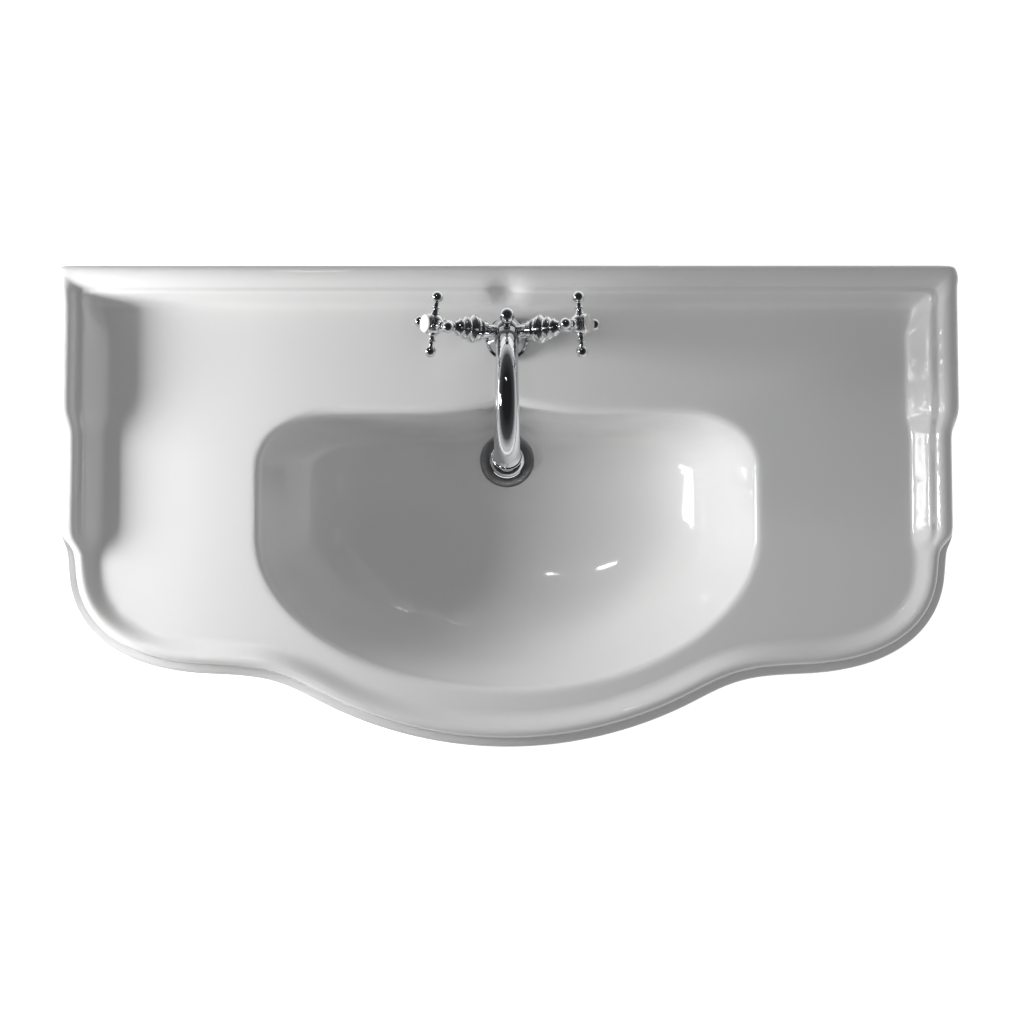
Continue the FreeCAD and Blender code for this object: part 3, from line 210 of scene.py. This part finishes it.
def roll(start, end, radius, bulge, points=11):
    """A half-round bead on a turned profile, or a cove where the bulge is negative."""
    shares = [index / (points - 1) for index in range(points)]
    return [(start + (end - start) * part, radius + bulge * math.sin(math.pi * part)) for part in shares]


def ball(centre, radius, first, last, points=25):
    """Part of a ball on a turned profile, between two angles from its near pole."""
    angles = [math.radians(first + (last - first) * index / (points - 1)) for index in range(points)]
    return [(centre - radius * math.cos(angle), radius * math.sin(angle)) for angle in angles]


def spun(mesh, profile, place, axis):
    """Add a closed turned form to a mesh: a loop of distances and radii about an axis."""
    side = axis.orthogonal().normalized()
    other = axis.cross(side)
    rings = []
    for step in range(spin_steps):
        angle = 2 * math.pi * step / spin_steps
        out = side * math.cos(angle) + other * math.sin(angle)
        rings.append([mesh.verts.new(place + axis * far + out * radius) for far, radius in profile])
    for ring, following in zip(rings, rings[1:] + rings[:1]):
        for index in range(len(profile)):
            after = (index + 1) % len(profile)
            mesh.faces.new((ring[index], ring[after], following[after], following[index]))


def made(mesh, name, material, body, replaced):
    """Close a mesh into a finished piece that rides on a body and stands for a CAD node."""
    bmesh.ops.remove_doubles(mesh, verts=mesh.verts, dist=weld_distance)
    bmesh.ops.dissolve_degenerate(mesh, edges=mesh.edges, dist=speck_size)
    bmesh.ops.recalc_face_normals(mesh, faces=mesh.faces)
    data = bpy.data.meshes.new(name)
    mesh.to_mesh(data)
    mesh.free()
    data.polygons.foreach_set("use_smooth", [True] * len(data.polygons))
    data.set_sharp_from_angle(angle=smooth_limit)
    data.materials.append(material)
    piece = bpy.data.objects.new(name, data)
    bpy.context.scene.collection.objects.link(piece)
    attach(piece, body)
    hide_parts(replaced)


# Bands from the body outward: start and end along the bonnet, and radius between and on the band.
bands = [
    (0.02, 0.13, 0.68, 0.80), (0.15, 0.45, 0.74, 0.985),
    (0.48, 0.69, 0.62, 0.80), (0.72, 0.88, 0.48, 0.62),
]
foot_share, head_share = 0.66, 0.36
bevel_share, flat_share, swell_share = 0.28, 1.3, 0.012
for side in ("left", "right"):
    place, axis = valve_axis(side)
    foot, head, wide = reach(f"{side}_bonnet", place, axis)
    bore = reach(f"{side}_spindle", place, axis)[2]
    tall = head - foot
    profile = [(foot, bore), (foot, foot_share * wide)]
    for first, last, valley, peak in bands:
        begin, finish = foot + first * tall, foot + last * tall
        bevel = bevel_share * (finish - begin)
        inset = flat_share * bevel
        profile += [(begin, valley * wide), (begin + bevel, peak * wide)]
        profile += roll(begin + inset, finish - inset, peak * wide, swell_share * wide)
        profile += [(finish - bevel, peak * wide), (finish, valley * wide)]
    profile += [(head, head_share * wide), (head, bore)]
    bonnet = bmesh.new()
    spun(bonnet, profile, place, axis)
    made(bonnet, f"{side}_bonnet_shroud", chrome, "fixed", f"{side}_bonnet")

# Cross handles: one chromed brass casting each, a hub with four tapered arms that end in balls.
# A steel screw in the hub fixes each on its spindle, and an index cap covers the screw.
handle_turn = {"left": math.radians(-14), "right": math.radians(7)}
neck_radius = 0.0046
bead_height, bead_radius = 0.0064, 0.0066
hub_height, hub_radius = 0.0238, 0.0113
hub_face_radius = 0.0086
cap_tall = 0.0036
arm_height = 0.0244
arm_balls = 0.0062
# Fine rings: start, end, radius and bulge, from the handle's foot or along an arm.
collar_ring = (0.0118, 0.0134, 0.0060, 0.0012)
hub_rings = [(0.0296, 0.0312, 0.0094, 0.0010), (0.0314, 0.0330, 0.0092, 0.0010)]
arm_ring = (0.0158, 0.0186, 0.0032, 0.0013)
# Arms: distance from the hub's axis and radius, before and after the ring.
arm_root = [(0.0045, 0), (0.0045, 0.0052), (0.0108, 0.0050), (0.0122, 0.0040), (0.0150, 0.0031)]
arm_neck = [(0.0200, 0.0027), (0.0216, 0.0026)]


def ring_from(base, ring):
    """A fine ring on a turned profile, measured from a base."""
    start, end, radius, bulge = ring
    return roll(base + start, base + end, radius, bulge)


for side in ("left", "right"):
    dress(zinc, "steel", f"{side}_handle_screw")
    place, axis = valve_axis(side)
    foot, _, span = reach(f"{side}_cross_handle", place, axis)
    bore = reach(f"{side}_spindle", place, axis)[2]
    hub_end = reach(f"{side}_index_cap", place, axis)[1] - cap_tall
    profile = [(foot, bore), (foot, neck_radius)]
    profile += ball(foot + bead_height, bead_radius, first=45, last=140)
    profile += ring_from(foot, collar_ring)
    profile += ball(foot + hub_height, hub_radius, first=34, last=118)
    for ring in hub_rings:
        profile += ring_from(foot, ring)
    profile += [(hub_end, hub_face_radius), (hub_end, bore)]
    handle = bmesh.new()
    spun(handle, profile, place, axis)
    across = Vector((0, 1, 0))
    level = across.cross(axis)
    arm = arm_root + ring_from(0, arm_ring) + arm_neck
    arm += ball(span - arm_balls, arm_balls, first=25, last=180)
    for quarter in range(4):
        angle = handle_turn[side] + quarter * math.pi / 2
        way = level * math.cos(angle) + across * math.sin(angle)
        spun(handle, arm, place + axis * (foot + arm_height), way)
    made(handle, f"{side}_handle_casting", chrome, f"{side}_handle", f"{side}_cross_handle")

# Index caps: small off-white glazed discs pressed into the hubs, plain, with no lettering.
# Each has a rolled rim with a fine step inside it and a low domed face.
cap_white = (0.78, 0.77, 0.74, 1)
cap_cream = (0.72, 0.71, 0.67, 1)
shank_share, rim_share, step_share, face_share = 0.62, 0.94, 0.88, 0.82
rim_tall, step_height, face_height, face_rise = 0.0018, 0.0020, 0.0022, 0.0014
face_steps = 8
cap_glaze = finish_of(
    "cap_glaze", cap_white, cap_cream, metallic=0.0,
    scales=(60, 150, 200), gloss=(0.08, 0.14), bump=0.05, depth=0.0003, coat=0.5,
)
for side in ("left", "right"):
    place, axis = valve_axis(side)
    seat, crown, wide = reach(f"{side}_index_cap", place, axis)
    rim = crown - cap_tall
    profile = [(seat, 0), (seat, shank_share * wide), (rim, shank_share * wide), (rim, rim_share * wide)]
    profile += roll(rim, rim + rim_tall, rim_share * wide, (1 - rim_share) * wide)
    profile += [(rim + step_height, step_share * wide), (rim + face_height, face_share * wide)]
    for step in range(1, face_steps + 1):
        part = step / face_steps
        height = rim + face_height + face_rise * math.sin(part * math.pi / 2)
        profile.append((height, face_share * wide * (1 - part)))
    disc = bmesh.new()
    spun(disc, profile, place, axis)
    made(disc, f"{side}_cap_disc", cap_glaze, f"{side}_handle", f"{side}_index_cap")

# Spout: a bent chromed tube with a flared mouth, set in the globe of the body on a grey seal.
# In its mouth sits an aerator, a moulded insert in a chromed sleeve.
mesh_light = (0.78, 0.78, 0.76, 1)
mesh_dark = (0.66, 0.66, 0.64, 1)
seal_light = (0.34, 0.34, 0.35, 1)
seal_dark = (0.27, 0.27, 0.28, 1)
aerator_plastic = finish_of(
    "aerator_plastic", mesh_light, mesh_dark, metallic=0.0,
    scales=(150, 300, 700), gloss=(0.35, 0.5), bump=0.1, depth=0.0002,
)
grey_seal = finish_of(
    "grey_seal", seal_light, seal_dark, metallic=0.0,
    scales=(90, 300, 900), gloss=(0.4, 0.55), bump=0.15, depth=0.0003,
)
dress(chrome, "chrome", "spout", "aerator_sleeve")
dress(grey_seal, "rubber", "spout_seal")
dress(aerator_plastic, "plastic", "aerator_insert")

# Pop-up lift: a chromed ball knob on a rod behind the spout, turned with a collar below the ball.
# Under the deck a perforated steel strap joins the rod to the lever that lifts the plug.
rise = Vector((0, 0, 1))
knob_foot_radius = 0.0042
foot_ring = (0, 0.0030, 0.0042, 0.0012)
knob_collar = (0.0090, 0.0130, 0.0036, 0.0018)
knob_shank = [(0.0040, 0.0036), (0.0085, 0.0034)]
knob_neck = (0.0140, 0.0034)
low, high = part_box("lift_knob")
knob_axis = Vector(((low.x + high.x) / 2, (low.y + high.y) / 2, 0))
knob_radius = (high.x - low.x) / 2
rod_radius = reach("lift_rod", knob_axis, rise)[2]
profile = [(low.z, rod_radius), (low.z, knob_foot_radius)]
profile += ring_from(low.z, foot_ring)
profile += [(low.z + height, radius) for height, radius in knob_shank]
profile += ring_from(low.z, knob_collar)
profile += [(low.z + knob_neck[0], knob_neck[1])]
profile += ball(high.z - knob_radius, knob_radius, first=26, last=180)
knob = bmesh.new()
spun(knob, profile, knob_axis, rise)
made(knob, "lift_ball", chrome, "lift", "lift_knob")
dress(chrome, "chrome", "lift_rod", "pivot_nut")
dress(zinc, "steel", "link_strap", "strap_screw", "pivot_rod")
dress(rubber, "rubber", "pivot_seal")

# Waste: a satin chromed flange in the bowl, screwed into the body below between two rubber seals.
# The plug is a chromed disc with a sloped edge and a rubber ring, on a brass stem that the lever lifts.
satin_light = (0.74, 0.75, 0.76, 1)
satin_dark = (0.62, 0.63, 0.64, 1)
# Plug's edge: shares of its height and radius, up to the flat of the crown.
plug_edge = [(0, 0), (0, 0.985), (0.06, 1), (0.12, 1), (0.90, 0.775)]
crown_height, crown_share = 0.92, 0.75
crown_steps = 12
low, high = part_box("plug")
drain_axis = Vector(((low.x + high.x) / 2, (low.y + high.y) / 2, 0))
plug_radius = (high.x - low.x) / 2
plug_tall = high.z - low.z
profile = [(low.z + height * plug_tall, share * plug_radius) for height, share in plug_edge]
for step in range(crown_steps + 1):
    part = step / crown_steps
    height = crown_height + (1 - crown_height) * math.sin(part * math.pi / 2)
    profile.append((low.z + plug_tall * height, crown_share * plug_radius * (1 - part)))
dome = bmesh.new()
spun(dome, profile, drain_axis, rise)
made(dome, "plug_dome", chrome, "plug", "plug")
satin_chrome = finish_of(
    "satin_chrome", satin_light, satin_dark, metallic=1.0,
    scales=(80, 250, 400), gloss=(0.42, 0.54), bump=0.05, depth=0.0002,
)
dress(satin_chrome, "chrome", "waste_flange")
dress(chrome, "chrome", "waste_body")
dress(rubber, "rubber", "upper_waste_seal", "lower_waste_seal", "plug_seal")
dress(brass, "brass", "plug_stem")

# Floor: a pale painted floor far below the basin, white to the eye and in the metal's reflections.
# It is open from below, so that the underside can be looked at too.
floor_drop = 0.72
floor_half = 6.0
floor_grey = (0.8, 0.8, 0.8, 1)
floor_glow = (0.86, 0.86, 0.86, 1)


def bare_material(name):
    """A material without shaders, its node tree and its output node."""
    material = bpy.data.materials.new(name)
    material.use_nodes = True
    material.node_tree.nodes.clear()
    return material, material.node_tree, material.node_tree.nodes.new("ShaderNodeOutputMaterial")


def sheet(name, corners, material):
    """A flat sheet for the stage, from its four corners."""
    data = bpy.data.meshes.new(name)
    data.from_pydata(corners, [], [(0, 1, 2, 3)])
    data.materials.append(material)
    piece = bpy.data.objects.new(name, data)
    bpy.context.scene.collection.objects.link(piece)
    return piece


floor_paint, tree, out = bare_material("floor_paint")
paint = tree.nodes.new("ShaderNodeBsdfDiffuse")
paint.inputs["Color"].default_value = floor_grey
glow = tree.nodes.new("ShaderNodeEmission")
glow.inputs["Color"].default_value = floor_glow
rays = tree.nodes.new("ShaderNodeLightPath")
seen = tree.nodes.new("ShaderNodeMath")
seen.operation = "MAXIMUM"
seen_too = tree.nodes.new("ShaderNodeMath")
seen_too.operation = "MAXIMUM"
both = tree.nodes.new("ShaderNodeAddShader")
face = tree.nodes.new("ShaderNodeNewGeometry")
clear = tree.nodes.new("ShaderNodeBsdfTransparent")
open_below = tree.nodes.new("ShaderNodeMixShader")
tree.links.new(rays.outputs["Is Camera Ray"], seen.inputs[0])
tree.links.new(rays.outputs["Is Glossy Ray"], seen.inputs[1])
tree.links.new(seen.outputs[0], seen_too.inputs[0])
tree.links.new(rays.outputs["Is Transmission Ray"], seen_too.inputs[1])
tree.links.new(seen_too.outputs[0], glow.inputs["Strength"])
tree.links.new(paint.outputs[0], both.inputs[0])
tree.links.new(glow.outputs[0], both.inputs[1])
tree.links.new(face.outputs["Backfacing"], open_below.inputs["Fac"])
tree.links.new(both.outputs[0], open_below.inputs[1])
tree.links.new(clear.outputs[0], open_below.inputs[2])
tree.links.new(open_below.outputs[0], out.inputs["Surface"])
floor_corners = [
    (-floor_half, -floor_half, -floor_drop), (floor_half, -floor_half, -floor_drop),
    (floor_half, floor_half, -floor_drop), (-floor_half, floor_half, -floor_drop),
]
sheet("floor", floor_corners, floor_paint)

# World: a white surround for the eye, which lights the basin softly and darkens overhead.
# Reflections see it darken sooner, as in a studio with a dark ceiling.
world_strength = 0.55
lighting_stops = [(0.25, (1, 1, 1, 1)), (0.75, (0.08, 0.08, 0.085, 1))]
mirrored_stops = [(0.0, (1.1, 1.1, 1.1, 1)), (0.80, (0.03, 0.03, 0.035, 1))]
mirrored_middle = (0.32, (0.13, 0.13, 0.135, 1))
world = bpy.data.worlds.new("studio")
bpy.context.scene.world = world
world.use_nodes = True
sky = world.node_tree


def height_ramp(stops):
    """A colour ramp between two stops, driven by a direction's height."""
    ramp = sky.nodes.new("ShaderNodeValToRGB")
    for element, (position, colour) in zip(ramp.color_ramp.elements, stops):
        element.position = position
        element.color = colour
    sky.links.new(split.outputs["Z"], ramp.inputs["Fac"])
    return ramp


backdrop = sky.nodes["Background"]
backdrop.inputs["Strength"].default_value = world_strength
way = sky.nodes.new("ShaderNodeTexCoord")
split = sky.nodes.new("ShaderNodeSeparateXYZ")
sky.links.new(way.outputs["Generated"], split.inputs[0])
ramp = height_ramp(lighting_stops)
mirrored = height_ramp(mirrored_stops)
middle = mirrored.color_ramp.elements.new(mirrored_middle[0])
middle.color = mirrored_middle[1]
sight = sky.nodes.new("ShaderNodeLightPath")
pick = sky.nodes.new("ShaderNodeMix")
pick.data_type = "RGBA"
white = sky.nodes.new("ShaderNodeBackground")
white.inputs["Color"].default_value = (1, 1, 1, 1)
around = sky.nodes.new("ShaderNodeMixShader")
sky.links.new(sight.outputs["Is Glossy Ray"], pick.inputs["Factor"])
sky.links.new(ramp.outputs["Color"], pick.inputs["A"])
sky.links.new(mirrored.outputs["Color"], pick.inputs["B"])
sky.links.new(pick.outputs["Result"], backdrop.inputs["Color"])
sky.links.new(sight.outputs["Is Camera Ray"], around.inputs["Fac"])
sky.links.new(backdrop.outputs[0], around.inputs[1])
sky.links.new(white.outputs[0], around.inputs[2])
sky.links.new(around.outputs[0], sky.nodes["World Output"].inputs["Surface"])

# Lamps: a soft panel low on the left lights the basin and throws the ledge's shadow over the deck.
# Small panels, seen only in reflections, draw the gleams in the bowl and along the right ledge.
# Columns: name, place, width, height, turn in degrees, watts, lights surfaces, shows in reflections.
lamps = [
    ("key_left", (-1.10, -0.22, 0.37), 0.50, 0.22, 0, 17, True, False),
    ("soft_top", (0.20, -0.45, 1.90), 1.40, 1.00, 0, 6, True, False),
    ("window_left", (-1.10, -0.19, 0.66), 0.34, 0.15, 55, 2.6, False, True),
    ("window_low", (-1.10, -0.05, 0.195), 0.50, 0.07, 0, 0.7, False, True),
    ("lamp_streak", (-0.45, 0.78, 1.90), 0.14, 0.030, -35, 0.7, False, True),
    ("lamp_spot", (-0.13, 0.66, 1.90), 0.030, 0.035, 0, 0.14, False, True),
]
aim = Vector((0.1, -0.26, 0.1))
for name, place, wide, high, turn, watts, lights, gleams in lamps:
    lamp = bpy.data.lights.new(name, "AREA")
    lamp.shape = "RECTANGLE"
    lamp.size = wide
    lamp.size_y = high
    lamp.energy = watts
    holder = bpy.data.objects.new(name, lamp)
    facing = (aim - Vector(place)).to_track_quat("-Z", "Y").to_matrix().to_4x4()
    holder.matrix_world = Matrix.Translation(place) @ facing @ Matrix.Rotation(math.radians(turn), 4, "Z")
    holder.visible_diffuse = lights
    holder.visible_glossy = gleams
    bpy.context.scene.collection.objects.link(holder)

# Net: a lighting net upright beside the basin, seen by nothing but the lamps' shadows.
# It holds back most of the low panel's light below the ledge, so that the left side stays below white.
net_place = -0.56
net_low, net_top = -0.20, 0.143
net_front, net_back = -0.80, 0.10
net_clear = (0.14, 0.14, 0.14, 1)
net_weave, tree, out = bare_material("net_weave")
thin = tree.nodes.new("ShaderNodeBsdfTransparent")
thin.inputs["Color"].default_value = net_clear
tree.links.new(thin.outputs[0], out.inputs["Surface"])
net_corners = [
    (net_place, net_front, net_low), (net_place, net_back, net_low),
    (net_place, net_back, net_top), (net_place, net_front, net_top),
]
net = sheet("net", net_corners, net_weave)
net.visible_camera = False
net.visible_diffuse = False
net.visible_glossy = False
net.visible_transmission = False

# Camera: almost straight above the basin, tilted a little from the front, with the wall at the top.
# Its lens and place give the photograph's frame.
eye = Vector((0.0, -0.354, 1.797))
target = Vector((0.0, -0.262, 0.100))
camera_data = bpy.data.cameras.new("camera")
camera_data.lens = 54.95
camera_data.sensor_width = 36.0
camera = bpy.data.objects.new("camera", camera_data)
back = (eye - target).normalized()
right = Vector((0, 1, 0)).cross(back).normalized()
upward = back.cross(right)
camera.matrix_world = Matrix.Translation(eye) @ Matrix((right, upward, back)).transposed().to_4x4()
bpy.context.scene.collection.objects.link(camera)
bpy.context.scene.camera = camera
bpy.context.scene.view_settings.view_transform = "Standard"
